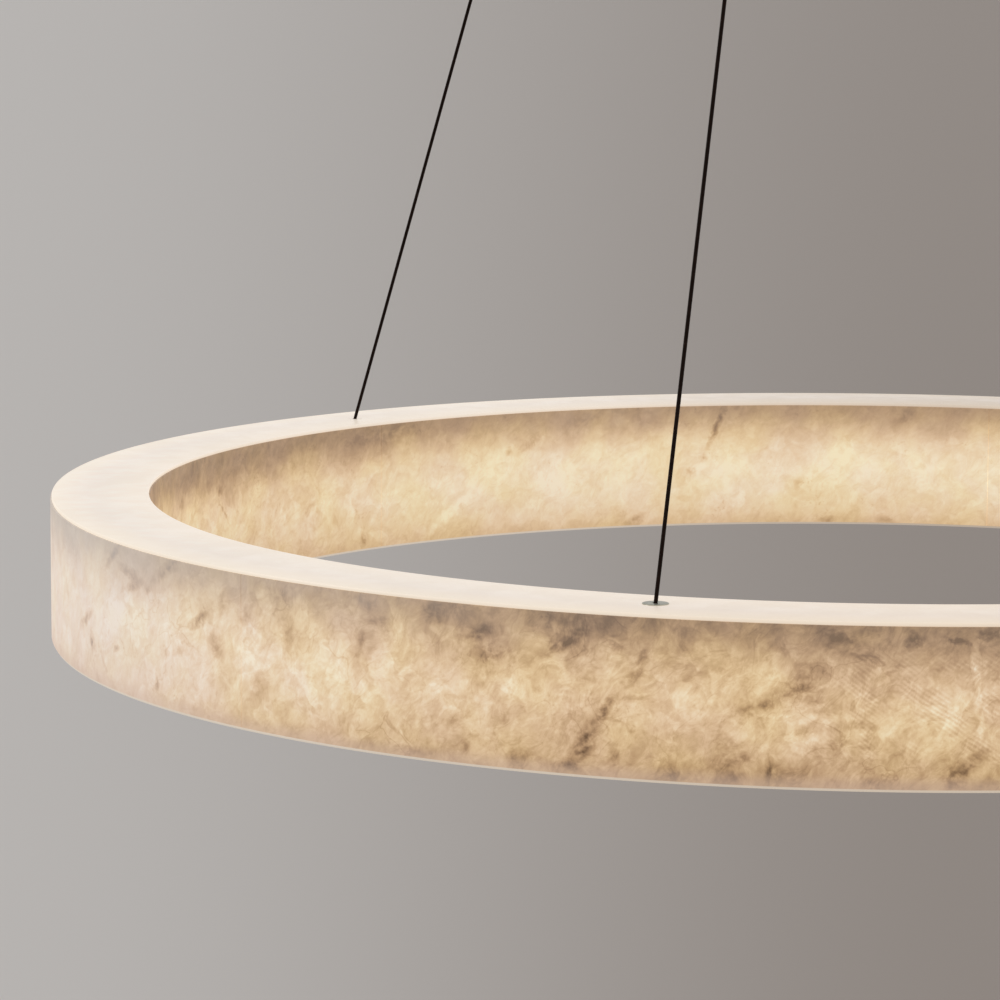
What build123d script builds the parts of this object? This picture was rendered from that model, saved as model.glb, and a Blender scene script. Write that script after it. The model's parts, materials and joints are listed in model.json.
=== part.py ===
"""Ring chandelier: a backlit ring of stone panels on three slanting cables under a round canopy.

Millimetres. The origin is on the ceiling at the middle of the canopy, +Z up, and -Y is the front
cable. A piece that all three cables have is made at the front cable, then turned to the others.
"""
from build123d import *
import os
from math import atan, cos, degrees, pi, sqrt

# Ring, seen from outside
RING_R = 500.0          # outer face of the outer stone
RING_WIDTH = 60.0       # outer face to inner face
RING_H = 87.0
RING_TOP_Z = -940.0
STONE_T = 10.0
STONE_GAP = 0.4         # hairline joint between two panels
STONES = 6              # panels in each wall
OUTER_SEAM = 1.2        # degrees, where one joint of the outer wall is
INNER_SEAM = 32.7
COVER_T = 2.0           # opal plate on top of the two walls
COVER_INSET = 0.8       # how far the plates stand back from the stone
DIFFUSER_T = 1.5        # opal plate under the two walls

# Cables
CABLE_R = 1.1
CABLES = {"front": 0.0, "right": 117.3, "left": 242.7}      # degrees from the front cable
EXIT_R = 125.0          # circle of the cable grippers
PIVOT_Z = -67.0         # where a cable bends, in the mouth of its nozzle
FOOT_R = 472.0          # so that the cables pierce the cover near the middle of its width
FOOT_DEPTH = 12.4       # foot pivot under the ring's top
STOP_FLATS = 5.6        # across the flats of the crimped stop
STOP_L = 5.0

# Where the cables pass the cover
HOLE_R = 5.0            # hole in the cover
NECK_R = 4.9            # gland's neck, through that hole
GLAND_R = 7.0           # its thin disc on top of the cover
GLAND_T = 0.5
GLAND_DEPTH = 4.6       # neck's lower end, under the ring's top
BUSHING_R = 4.95
BUSHING_L = 3.0

# Canopy and bracket
CANOPY_R = 150.0
CANOPY_H = 55.0
CANOPY_WALL = 1.5
CANOPY_EDGE = 4.0       # chamfer round the canopy's lower edge
PLATE_T = 4.0
PLATE_FLATS = 170.0     # across the flats of the bracket's hexagon
ARM_W = 36.0
ARM_END_R = 142.0
BOLT_CIRCLE_R = 78.0
BOLT_HOLE_R = 2.75
BOLT_ANGLES = (90.0, 210.0, 330.0)
SUPPLY_HOLE_R = 9.0
SUPPLY_AT = 46.0        # the supply hole's X and Y

# Gripper, all heights in the canopy's frame
GRIP_R = 5.0
GRIP_BOTTOM = -62.0
LIP_Z = -60.0
GRIP_BORE = 3.4
LIP_BORE = 2.7
JAW_LOW = -39.0
JAW_HIGH = -30.0
PORT_LOW = -22.0
PORT_HIGH = -10.5
TAIL_Z = -13.0          # height at which the feed tail runs inwards
TAIL_BEND = 7.0
NUT_H = 5.0
COLLAR_R = 9.5
COLLAR_H = 5.0

# Release nozzle
STEM_R = 2.3
NOZZLE_BORE = 1.6
SHOULDER_R = 2.8
BELL_TOP = -65.2
BELL_R = 6.8
BELL_BOTTOM = -73.2

# Driver and terminal block, under the bracket
DRIVER_L = 112.0
DRIVER_W = 42.0
DRIVER_H = 21.0
DRIVER_FRONT_Y = -88.0
LID_T = 3.0
TERMINAL_L = 36.0
TERMINAL_W = 16.0
TERMINAL_H = 14.0
POLE_SPACING = 12.0
ENTRY_Z = -12.0

# Frame inside the ring, as radii and as depths under the ring's top
WEB_IN = 468.0
WEB_OUT = 472.0
WEB_TOP = 20.0
WEB_LOW = 80.0
WEB_BOW = 0.35          # how far the ring bows away from a straight saddle's middle
HANGER_TOP = 5.0
HANGER_SHELF = 8.5
HANGER_LOW = 36.0
HANGER_W = 12.0
HANGER_L = 34.0
CLIP_T = 1.5
CLIP_TOP = 54.0
CLIP_ARM = 66.0
CLIP_LOW = 78.0
CLIP_W = 25.0
FLATS = 12              # sides of small pieces that would be turned, to keep their faces few
LED_COUNT = 18
LED_Z = 42.0

# Running clearances between pieces of different bodies
GAP = 0.75
TIP_GAP = 0.3

PIVOT = Vector(0, -EXIT_R, PIVOT_Z)
FOOT = Vector(0, -FOOT_R, RING_TOP_Z - FOOT_DEPTH)
UP_CABLE = (PIVOT - FOOT).normalized()
CABLE_RUN = (PIVOT - FOOT).length
SLOPE = (FOOT_R - EXIT_R) / (PIVOT_Z - FOOT.Z)
PIERCE_R = FOOT_R - FOOT_DEPTH * SLOPE
RING_IN_R = RING_R - RING_WIDTH
LINE = Plane(origin=FOOT, x_dir=(1, 0, 0), z_dir=UP_CABLE)
THREAD_HOLE = RegularPolygon(GRIP_R + 0.05, FLATS)


def section(points):
    """The half section that these radii and heights go round, in the XZ plane."""
    return Face(Wire.make_polygon([Vector(r, 0, z) for r, z in points], close=True))


def turned(points):
    """A turned piece of that half section, about the Z axis."""
    return revolve(section(points), Axis.Z)


def bent(points, start, sweep):
    """A piece of that section bent round the Z axis, from one angle through a sweep."""
    return Rot(0, 0, start) * revolve(section(points), Axis.Z, sweep)


def oblong(r_in, r_out, z_low, z_high):
    """The corners of an upright section."""
    return [(r_in, z_low), (r_out, z_low), (r_out, z_high), (r_in, z_high)]


def block(x, y, z):
    """A box from its lowest and highest X, Y and Z."""
    centre = Pos((x[0] + x[1]) / 2, (y[0] + y[1]) / 2, (z[0] + z[1]) / 2)
    return centre * Box(x[1] - x[0], y[1] - y[0], z[1] - z[0])


def at(radius, angle, shape):
    """A shape made on the +X axis, moved out to a radius and turned to an angle."""
    return Rot(0, 0, angle) * Pos(radius, 0, 0) * shape


def rod(radius, low, high):
    """A round rod along the cable's line, between two distances from the foot pivot."""
    bottom = (Align.CENTER, Align.CENTER, Align.MIN)
    return LINE * Pos(0, 0, low) * Cylinder(radius, high - low, align=bottom)


def passage():
    """Cutter for the slanting bore that lets the cable through the cover."""
    outline = RegularPolygon(CABLE_R + GAP, FLATS, major_radius=False)
    return LINE * extrude(outline, 2 * FOOT_DEPTH)


def hexagon(across_flats, height, bore=None):
    """An upright hexagon, from Z 0 up, with a bore of that outline if it is a nut."""
    outline = RegularPolygon(across_flats / 2, 6, major_radius=False)
    if bore:
        outline -= bore
    return extrude(outline, height)


def flared(r_low, r_top, z_low, z_top):
    """An upright prism with flats, as wide at its top as below or tapering to it."""
    lean = degrees(atan((r_low - r_top) * cos(pi / FLATS) / (z_top - z_low)))
    return Pos(0, 0, z_low) * extrude(RegularPolygon(r_low, FLATS), z_top - z_low, taper=lean)


def at_cables(shape):
    """Copies of the front cable's piece at all three cables."""
    return [Rot(0, 0, turn) * shape for turn in CABLES.values()]


def depth(d):
    """The height of a depth under the ring's top."""
    return RING_TOP_Z - d


# Canopy


def ceiling_bracket():
    """Flat three-armed plate: ceiling bolts, supply hole, and a tapped hole at each arm's end."""
    outline = RegularPolygon(PLATE_FLATS / 2, 6, major_radius=False, rotation=30)
    for turn in CABLES.values():
        outline += Rot(0, 0, turn) * Pos(0, -ARM_END_R / 2) * Rectangle(ARM_W, ARM_END_R)
    for turn in CABLES.values():
        outline -= Rot(0, 0, turn) * Pos(0, -EXIT_R) * THREAD_HOLE
    for angle in BOLT_ANGLES:
        outline -= Rot(0, 0, angle) * Pos(BOLT_CIRCLE_R, 0) * Circle(BOLT_HOLE_R)
    outline -= Pos(SUPPLY_AT, SUPPLY_AT) * Circle(SUPPLY_HOLE_R)
    return extrude(outline, -PLATE_T)


def canopy_cover():
    """Spun cup, open to the ceiling, with a chamfered lower edge and three holes."""
    inner = CANOPY_R - CANOPY_WALL
    bottom = -CANOPY_H + CANOPY_WALL
    cup = turned([
        (0, -CANOPY_H), (CANOPY_R - CANOPY_EDGE, -CANOPY_H), (CANOPY_R, -CANOPY_H + CANOPY_EDGE),
        (CANOPY_R, 0), (inner, 0), (inner, -CANOPY_H + CANOPY_EDGE), (inner - CANOPY_EDGE, bottom),
        (0, bottom)])
    wide = GRIP_R + 0.3
    hole = Pos(0, -EXIT_R, 0) * flared(wide, wide, -CANOPY_H - 1, bottom + 1)
    for cutter in at_cables(hole):
        cup -= cutter
    return cup


def gripper_body():
    """Threaded gripper tube: bore, lip under the nozzle, and a side port for the cable."""
    tube = flared(GRIP_R, GRIP_R, GRIP_BOTTOM, -1)
    tube -= flared(GRIP_BORE, GRIP_BORE, LIP_Z, PORT_LOW)
    tube -= flared(LIP_BORE, LIP_BORE, GRIP_BOTTOM, LIP_Z)
    tube -= block((-1.7, 1.7), (-1.7, GRIP_R + 1), (PORT_LOW - 0.5, PORT_HIGH))
    return Pos(0, -EXIT_R, 0) * tube


def gripper_jaws():
    """Three wedge jaws round the cable: each is thickest at its top, where the tube holds it."""
    jaws = []
    for turn in (90, 210, 330):
        side = [(CABLE_R, JAW_LOW), (2.2, JAW_LOW), (GRIP_BORE - 0.3, JAW_HIGH), (CABLE_R, JAW_HIGH)]
        jaw = extrude(section(side), 0.9, both=True)
        jaws.append(Pos(0, -EXIT_R, 0) * Rot(0, 0, turn) * jaw)
    return jaws


def gripper_spring():
    """The sleeve that the gripper's coil spring fills, over its jaws, with few faces."""
    sleeve = RegularPolygon(GRIP_BORE - 0.3, 8) - RegularPolygon(CABLE_R + 0.7, 8)
    return Pos(0, -EXIT_R, JAW_HIGH) * extrude(sleeve, PORT_LOW - JAW_HIGH - 0.5)


def gripper_nut():
    """Jam nut under the bracket's arm."""
    return Pos(0, -EXIT_R, -PLATE_T - NUT_H) * hexagon(16, NUT_H, THREAD_HOLE)


def canopy_collar():
    """Twelve-sided ring that screws up the gripper tube and holds the canopy to the ceiling."""
    outline = RegularPolygon(COLLAR_R, FLATS) - THREAD_HOLE
    return Pos(0, -EXIT_R, -CANOPY_H) * extrude(outline, -COLLAR_H)


def release_nozzle():
    """Sprung nozzle: pushed up it frees the cable, and its bell mouth lets the cable lean out."""
    shoulder_low = LIP_Z + TIP_GAP
    nozzle = flared(STEM_R, STEM_R, BELL_TOP, JAW_LOW - 5)
    nozzle += flared(SHOULDER_R, SHOULDER_R, shoulder_low, shoulder_low + 3.7)
    nozzle += flared(BELL_R, BELL_R - 2.4, BELL_BOTTOM, BELL_TOP)
    nozzle -= flared(NOZZLE_BORE, NOZZLE_BORE, PIVOT_Z, 0)
    nozzle -= flared(BELL_R - 1.2, NOZZLE_BORE, BELL_BOTTOM, PIVOT_Z)
    return Pos(0, -EXIT_R, 0) * nozzle


def driver_case():
    """Closed driver housing under the bracket, with two fixing ears."""
    back = DRIVER_FRONT_Y + DRIVER_L
    half = DRIVER_W / 2
    low = -PLATE_T - DRIVER_H
    case = block((-half, half), (DRIVER_FRONT_Y, back), (low, -PLATE_T))
    case = chamfer(case.edges().filter_by(Axis.Z), 3)
    for side in (-1, 1):
        ear = Pos(side * (half + 5), -20, -PLATE_T - 1) * Box(10, 14, 2)
        case += ear
    return case


def driver_lid():
    """Lid of the driver housing, on its lower side, with bevelled edges."""
    back = DRIVER_FRONT_Y + DRIVER_L
    half = DRIVER_W / 2
    top = -PLATE_T - DRIVER_H
    lid = block((-half, half), (DRIVER_FRONT_Y, back), (top - LID_T, top))
    return chamfer(lid.faces().sort_by(Axis.Z)[0].edges(), 2)


def driver_screws():
    """Hexagon heads of the screws through the driver's ears."""
    low = -PLATE_T - 2
    reach = DRIVER_W / 2 + 5
    return [Pos(side * reach, -20, low - 2.4) * hexagon(7, 2.4) for side in (-1, 1)]


def terminal_block():
    """Three-pole mains terminal block, plugged on to the driver's back, with its wire entries."""
    half = TERMINAL_L / 2
    low = -PLATE_T - TERMINAL_H
    near = DRIVER_FRONT_Y + DRIVER_L
    far = near + TERMINAL_W
    body = block((-half, half), (near, far), (low, -PLATE_T))
    for pole in (-1, 0, 1):
        x = pole * POLE_SPACING
        body -= block((x - 2, x + 2), (far - 6, far + 1), (ENTRY_Z - 2, ENTRY_Z + 2))
    for pole in (-0.5, 0.5):
        x = pole * POLE_SPACING
        body -= block((x - 0.8, x + 0.8), (near, far), (low, low + 4))
    return body


def terminal_screws():
    """Clamping screws of the three poles."""
    low = -PLATE_T - TERMINAL_H
    y = DRIVER_FRONT_Y + DRIVER_L + TERMINAL_W / 2
    return [Pos(pole * POLE_SPACING, y, low - 1) * hexagon(5, 1) for pole in (-1, 0, 1)]


def earth_screw():
    """Earthing screw on the bracket, beside the terminal block."""
    return Pos(-36, 32, -PLATE_T - 3) * hexagon(8, 3)


def cable_tails():
    """The cables inside the canopy: straight up through the jaws, and the feed on to the driver."""
    low = PIVOT_Z + CABLE_R + TIP_GAP
    corner = (0, -EXIT_R, TAIL_Z)
    path = FilletPolyline((0, -EXIT_R, low), corner, (0, DRIVER_FRONT_Y, TAIL_Z), radius=TAIL_BEND)
    start = Plane(origin=(0, -EXIT_R, low))
    outline = start * RegularPolygon(CABLE_R, 8)
    feed = sweep(outline, path)
    plain = extrude(outline, PORT_HIGH - 1 - low)
    return [feed] + at_cables(plain)[1:]


# Cables


def cable():
    """The free stretch of a cable, taut and straight, from its stop to its pivot."""
    return rod(CABLE_R, STOP_L / 2, CABLE_RUN)


def cable_stop():
    """Stop crimped on the cable's lower end, with six flats."""
    return LINE * Pos(0, 0, -STOP_L / 2) * hexagon(STOP_FLATS, STOP_L)


# Ring


def stone_panel(face_r, back_r, seam, index):
    """One curved panel of a wall, between the cover and the diffuser."""
    pitch = 360 / STONES
    gap = degrees(STONE_GAP / face_r)
    wall = oblong(min(face_r, back_r), max(face_r, back_r), depth(RING_H - DIFFUSER_T), depth(COVER_T))
    return bent(wall, seam + index * pitch + gap / 2, pitch - gap)


def inside(radius):
    """How far out a flat clip sits against the hollow side of that circle, on its two edges."""
    return sqrt(radius ** 2 - (CLIP_W / 2) ** 2)


def clip_seats(away):
    """Where a clip sits on the web and on the stone's back, outside or inside the frame ring."""
    if away > 0:
        return WEB_OUT, inside(RING_R - STONE_T)
    return inside(WEB_IN), RING_IN_R + STONE_T


def stone_clip(away, seam, index):
    """Clip folded from flat strip: screwed to the frame ring, and bonded to two panels' backs."""
    web, back = clip_seats(away)
    leg = web + away * CLIP_T
    pad = back - away * CLIP_T
    profile = [
        (web, depth(CLIP_TOP)), (leg, depth(CLIP_TOP)), (leg, depth(CLIP_ARM)),
        (back, depth(CLIP_ARM)), (back, depth(CLIP_LOW)), (pad, depth(CLIP_LOW)),
        (pad, depth(CLIP_ARM + CLIP_T)), (web, depth(CLIP_ARM + CLIP_T))]
    strip = extrude(section(profile), CLIP_W / 2, both=True)
    return Rot(0, 0, seam + index * 360 / STONES) * strip


def clip_screw(away, seam, index):
    """Hexagon head of the screw that holds a clip to the web."""
    seat = clip_seats(away)[0] + away * CLIP_T
    head = Rot(0, 90 * away, 0) * hexagon(5.5, 2)
    return Pos(0, 0, depth(CLIP_TOP + 6)) * at(seat, seam + index * 360 / STONES, head)


def top_cover():
    """Opal plate over both walls and the channel between them, with a hole at each cable."""
    inner, outer = RING_IN_R + COVER_INSET, RING_R - COVER_INSET
    plate = turned(oblong(inner, outer, depth(COVER_T), depth(0)))
    hole = Pos(0, -PIERCE_R, depth(COVER_T / 2)) * Cylinder(HOLE_R, 2 * COVER_T)
    for cutter in at_cables(hole):
        plate -= cutter
    return plate


def bottom_diffuser():
    """Opal plate that closes the channel from below."""
    inner, outer = RING_IN_R + COVER_INSET, RING_R - COVER_INSET
    return turned(oblong(inner, outer, depth(RING_H), depth(RING_H - DIFFUSER_T)))


def frame_ring():
    """Flat bar rolled on edge: the ring that carries everything else."""
    return turned(oblong(WEB_IN, WEB_OUT, depth(WEB_LOW), depth(WEB_TOP)))


def hanger():
    """Saddle astride the frame ring, with a slotted shelf that the cable's stop pulls against."""
    half = HANGER_L / 2
    middle = (WEB_IN + WEB_OUT) / 2
    near, far = -middle - HANGER_W / 2, -middle + HANGER_W / 2
    saddle = block((-half, half), (near, far), (depth(HANGER_LOW), depth(HANGER_TOP)))
    groove_y = (-WEB_OUT, -WEB_IN + WEB_BOW)
    saddle -= block((-half, half), groove_y, (depth(HANGER_LOW), depth(WEB_TOP)))
    saddle -= block((-6, 6), (near, far), (depth(WEB_TOP), depth(HANGER_SHELF)))
    saddle -= block((-6, 6), (near, -WEB_OUT), (depth(HANGER_LOW), depth(WEB_TOP)))
    slot = CABLE_R + GAP
    return saddle - block((-slot, slot), (-FOOT_R - slot, far), (depth(HANGER_SHELF), depth(HANGER_TOP)))


def hanger_screws():
    """Hexagon heads of the two screws that clamp a saddle to the frame ring."""
    face = (WEB_IN + WEB_OUT + HANGER_W) / 2
    heads = []
    for x in (-11, 11):
        heads.append(Pos(x, -face, depth(WEB_TOP + 8)) * Rot(90, 0, 0) * hexagon(7, 2.5))
    return heads


def feed_gland():
    """Metal gland of the feed cable: a thin disc on the cover and a neck through it."""
    body = flared(NECK_R, NECK_R, -GLAND_DEPTH, 0)
    body += Pos(0, 0, GLAND_T / 2) * Cylinder(GLAND_R, GLAND_T)
    return Pos(0, -PIERCE_R, depth(0)) * body - passage()


def gland_nut():
    """Thin nut of the gland, under the cover."""
    low = GLAND_DEPTH - 0.2
    bore = RegularPolygon(NECK_R + 0.05, FLATS)
    return Pos(0, -PIERCE_R, depth(low)) * hexagon(13, low - COVER_T, bore)


def cable_bushing():
    """Flush white bushing in the cover, with a slanting bore for a plain cable."""
    return Pos(0, -PIERCE_R, depth(BUSHING_L / 2)) * Cylinder(BUSHING_R, BUSHING_L) - passage()


def led_modules(away):
    """Light modules along one side of the frame ring, facing the stone."""
    modules = []
    for k in range(LED_COUNT):
        distance = WEB_OUT + 2.5 if away > 0 else WEB_IN - 2.95
        module = Pos(0, 0, depth(LED_Z)) * Box(5, 40, 12)
        modules.append(at(distance, k * 360 / LED_COUNT, module))
    return modules


def ring_connector():
    """Two-pole connector on the frame ring, in line with the front cable."""
    return block((-8, 8), (-WEB_OUT - 13, -WEB_OUT), (depth(HANGER_LOW + 14), depth(HANGER_LOW + 1)))


def ring_lead():
    """The feed's inner lead, straight on from the stop to the connector."""
    low = -(HANGER_LOW + 2 - FOOT_DEPTH) / UP_CABLE.Z
    lead = rod(0.8, low, -STOP_L / 2 - 0.4)
    return lead - ring_connector()


def diffuser_bracket(index):
    """Foot on the frame ring's lower edge, for one magnet."""
    foot = block((-6, 6), (-12, 12), (depth(RING_H - DIFFUSER_T - 2), depth(74)))
    groove = block((-2 - WEB_BOW, 2), (-12, 12), (depth(WEB_LOW), depth(74)))
    return at((WEB_IN + WEB_OUT) / 2, 15 + index * 60, foot - groove)


def diffuser_magnet(index):
    """Magnet between that foot and the bottom plate."""
    magnet = block((-4, 4), (-6, 6), (depth(RING_H - DIFFUSER_T), depth(RING_H - DIFFUSER_T - 2)))
    return at((WEB_IN + WEB_OUT) / 2, 15 + index * 60, magnet)


def spread(make, *settings):
    """One piece for each panel joint or bracket place round the ring."""
    return [make(*settings, index) for index in range(STONES)]


def build():
    """Every node, by name."""
    outer = (1, OUTER_SEAM)
    inner = (-1, INNER_SEAM)
    nodes = {
        "ceiling_bracket": ceiling_bracket(),
        "canopy_cover": canopy_cover(),
        "gripper_bodies": at_cables(gripper_body()),
        "gripper_jaws": [copy for jaw in gripper_jaws() for copy in at_cables(jaw)],
        "gripper_springs": at_cables(gripper_spring()),
        "gripper_nuts": at_cables(gripper_nut()),
        "canopy_collars": at_cables(canopy_collar()),
        "driver_case": driver_case(),
        "driver_lid": driver_lid(),
        "driver_screws": driver_screws(),
        "terminal_block": terminal_block(),
        "terminal_screws": terminal_screws(),
        "earth_screw": earth_screw(),
        "cable_tails": cable_tails(),
        "top_cover": top_cover(),
        "bottom_diffuser": bottom_diffuser(),
        "frame_ring": frame_ring(),
        "hangers": at_cables(hanger()),
        "hanger_screws": [copy for head in hanger_screws() for copy in at_cables(head)],
        "feed_gland": feed_gland(),
        "gland_nut": gland_nut(),
        "cable_bushings": at_cables(cable_bushing())[1:],
        "outer_clips": spread(stone_clip, *outer),
        "inner_clips": spread(stone_clip, *inner),
        "clip_screws": spread(clip_screw, *outer) + spread(clip_screw, *inner),
        "led_modules_outer": led_modules(1),
        "led_modules_inner": led_modules(-1),
        "ring_connector": ring_connector(),
        "ring_lead": ring_lead(),
        "diffuser_brackets": spread(diffuser_bracket),
        "diffuser_magnets": spread(diffuser_magnet),
    }
    for name, turn in CABLES.items():
        nodes[f"nozzle_{name}"] = Rot(0, 0, turn) * release_nozzle()
        nodes[f"cable_{name}"] = Rot(0, 0, turn) * cable()
        nodes[f"cable_stop_{name}"] = Rot(0, 0, turn) * cable_stop()
    for index in range(STONES):
        wall = (RING_R, RING_R - STONE_T, OUTER_SEAM, index)
        nodes[f"outer_stone_{index + 1}"] = stone_panel(*wall)
        wall = (RING_IN_R, RING_IN_R + STONE_T, INNER_SEAM, index)
        nodes[f"inner_stone_{index + 1}"] = stone_panel(*wall)
    return nodes


os.makedirs("parts", exist_ok=True)
for node, shape in build().items():
    pieces = shape if isinstance(shape, list) else [shape]
    solids = [solid for piece in pieces for solid in piece.solids()]
    export_step(Compound(solids), f"parts/{node}.step")
print(f"cable run {CABLE_RUN:.1f} mm, slope {SLOPE:.4f}, pierces the cover at radius {PIERCE_R:.1f} mm")
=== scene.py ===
"""Looks of the ring chandelier: backlit stone ring on three slanting cables. Metres, +Z up."""
import bpy
import json
from math import atan2, cos, degrees, pi, radians, sin, tau
from mathutils import Matrix, Vector


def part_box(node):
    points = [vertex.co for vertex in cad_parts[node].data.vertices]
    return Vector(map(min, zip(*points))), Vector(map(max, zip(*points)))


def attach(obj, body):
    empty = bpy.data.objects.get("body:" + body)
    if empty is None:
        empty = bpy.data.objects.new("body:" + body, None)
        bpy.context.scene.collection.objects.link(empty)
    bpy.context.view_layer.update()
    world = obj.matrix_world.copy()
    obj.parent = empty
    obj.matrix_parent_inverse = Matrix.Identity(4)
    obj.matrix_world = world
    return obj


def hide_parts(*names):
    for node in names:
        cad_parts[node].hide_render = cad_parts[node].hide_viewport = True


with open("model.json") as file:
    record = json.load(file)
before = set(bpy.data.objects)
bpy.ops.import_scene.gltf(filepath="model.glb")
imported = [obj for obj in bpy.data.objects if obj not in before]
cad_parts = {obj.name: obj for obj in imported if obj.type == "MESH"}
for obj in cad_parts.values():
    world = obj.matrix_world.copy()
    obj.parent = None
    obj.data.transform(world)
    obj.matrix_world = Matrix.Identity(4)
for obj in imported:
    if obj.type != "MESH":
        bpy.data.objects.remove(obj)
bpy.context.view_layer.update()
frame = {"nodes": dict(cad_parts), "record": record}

nodes = frame["nodes"]
slot_of = {part["node"]: part["material_slot"] for part in frame["record"]["subparts"]}
bodies = frame["record"]["behaviour"]["bodies"]
body_of = {node: body for body, members in bodies.items() for node in members}
MM = 0.001

# Ring
RING_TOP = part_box("top_cover")[1].z
RING_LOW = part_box("bottom_diffuser")[0].z
STONE_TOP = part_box("outer_stone_1")[1].z
STONE_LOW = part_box("outer_stone_1")[0].z
RING_R = 500 * MM
INNER_R = 440 * MM
STONE_T = 10 * MM
PLATE_INSET = 0.8 * MM      # how far the opal plates stand back from the stone
PANELS = 6
PANEL_PITCH = 360 / PANELS
JOINT = 0.4 * MM            # width of the joint between two panels
FILL_SUNK = 0.05 * MM       # how far its filler lies below the stone's face
OUTER_SEAM = 1.2            # angle of one joint of each wall
INNER_SEAM = 32.7
ARRIS = 0.15 * MM

# Cables: the pivot in the nozzle and the foot in the ring, as radius and height
CABLE_ANGLES = {"front": 270.0, "right": 27.3, "left": 152.7}
CABLE_D = 2.2 * MM
PIVOT = (125 * MM, -67 * MM)
FOOT = (472 * MM, -952.4 * MM)
STOP_HALF = 2.5 * MM
BORE_R = 1.85 * MM          # slanting bore of the gland and bushings
PIERCE_R = FOOT[0] - (RING_TOP - FOOT[1]) * (FOOT[0] - PIVOT[0]) / (PIVOT[1] - FOOT[1])
HOLE_R = 4.97 * MM          # hole in the top plate at each cable
NECK_R = 4.9 * MM
GLAND_R = 7 * MM
GLAND_T = 0.5 * MM
GLAND_DEPTH = 4.6 * MM
BUSHING_R = 4.95 * MM
BUSHING_DEPTH = 3 * MM

# Canopy
CANOPY_R = 150 * MM
CANOPY_H = 55 * MM
CANOPY_WALL = 1.5 * MM
CANOPY_EDGE = 4 * MM
CANOPY_HOLE_R = 5.3 * MM
EXIT_R = 125 * MM
GRIP_R = 5 * MM
GRIP_FOOT = -62 * MM        # the gripper tube's end, below the collar
COLLAR_R = 9.5 * MM
COLLAR_LOW = -60 * MM
COLLAR_PLAY = 0.06 * MM
KNURL_RIDGES = 36
KNURL_DEPTH = 0.35 * MM

# Gripper: its threaded tube, the sprung nozzle in it, the jaws' spring and the cables' ends
TUBE_TOP = -1 * MM
THREAD_DEPTH = 0.45 * MM
THREAD_PITCH = 1 * MM
THREAD_CREST = (0.35, 0.6)  # where the crest starts and ends, as shares of the pitch
ROOM_R, ROOM_TOP = 3.4 * MM, -22 * MM
LIP_R, LIP_TOP = 2.7 * MM, -60 * MM     # lip that keeps the nozzle in
PORT_R, PORT_Z = 1.7 * MM, -16.5 * MM   # side port for a cable's end
STEM = [                    # the nozzle's stem and shoulder, as radius and height in mm
    (1.6, -44), (2.1, -44), (2.3, -44.3), (2.3, -56), (2.6, -56), (2.75, -56.2), (2.75, -59.5),
    (2.6, -59.7), (2.3, -59.7), (2.3, -64.9), (2.6, -65.2), (4.1, -65.2)]
BELL_TOP, BELL_LOW = -65.2 * MM, -73.2 * MM
BELL_NECK, BELL_R = 4.4 * MM, 6.8 * MM
BELL_LIP = 0.6 * MM
THROAT_R, MOUTH_R = 1.6 * MM, 5.5 * MM  # the way through, at the pivot and at the bell's mouth
SPRING_WIRE, SPRING_R = 0.32 * MM, 2.55 * MM    # radii of the spring's wire and coil
SPRING_PITCH, SPRING_TURNS = 1.15 * MM, 6
SPRING_FOOT = -29.6 * MM
TAIL_LOW = PIVOT[1] + 1.4 * MM  # where the cables' ends join on, above their pivots
TAIL_TOP = -11.5 * MM       # where the plain cables end
TAIL_Z = -13 * MM           # height at which the feed turns towards the driver
TAIL_BEND = 7 * MM
DRIVER_FRONT = -88 * MM


def deselect():
    """Leaves edit mode and selects nothing."""
    if bpy.context.object and bpy.context.object.mode != "OBJECT":
        bpy.ops.object.mode_set(mode="OBJECT")
    bpy.ops.object.select_all(action="DESELECT")


def added(name, data):
    """A new object in the scene."""
    piece = bpy.data.objects.new(name, data)
    bpy.context.scene.collection.objects.link(piece)
    return piece


def around(radius, angle, height):
    """The point at that radius, angle in degrees and height."""
    return Vector((radius * cos(radians(angle)), radius * sin(radians(angle)), height))


# Camera: a long lens from a little above the ring, as in the photograph

LENS = 161.4
CAMERA_AT = (2.7293, 283.54, RING_TOP + 0.3739)     # radius, angle and height
CAMERA_HEADING = 18.311
CAMERA_TILT = -8.011
CAMERA_ROLL = 0.262


def photograph_camera():
    """The camera of the photograph."""
    camera = added("camera", bpy.data.cameras.new("camera"))
    camera.data.lens = LENS
    camera.data.sensor_width = 36
    camera.data.clip_end = 400
    turn = Matrix.Rotation(radians(CAMERA_HEADING), 4, "Z")
    turn = turn @ Matrix.Rotation(radians(90 + CAMERA_TILT), 4, "X")
    turn = turn @ Matrix.Rotation(radians(CAMERA_ROLL), 4, "Z")
    camera.matrix_world = Matrix.Translation(around(*CAMERA_AT)) @ turn
    bpy.context.scene.camera = camera


def cable_line(side):
    """A cable's pivot, its foot, and the direction from one to the other."""
    angle = CABLE_ANGLES[side]
    pivot, foot = around(PIVOT[0], angle, PIVOT[1]), around(FOOT[0], angle, FOOT[1])
    return pivot, foot, (foot - pivot).normalized()


def round_curve(name, routes, resolution, roundness):
    """A curve as thick as a cable, along each of the routes."""
    curve = bpy.data.curves.new(name, "CURVE")
    curve.dimensions = "3D"
    for route in routes:
        spline = curve.splines.new("NURBS")
        spline.points.add(len(route) - 1)
        for point, place in zip(spline.points, route):
            point.co = (*place, 1)
            point.radius = CABLE_D / 2
        spline.order_u = 3
        spline.use_endpoint_u = True
        spline.resolution_u = resolution
    curve.bevel_depth = 1.0
    curve.bevel_resolution = roundness
    curve.use_fill_caps = True
    return added(name, curve)


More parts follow.
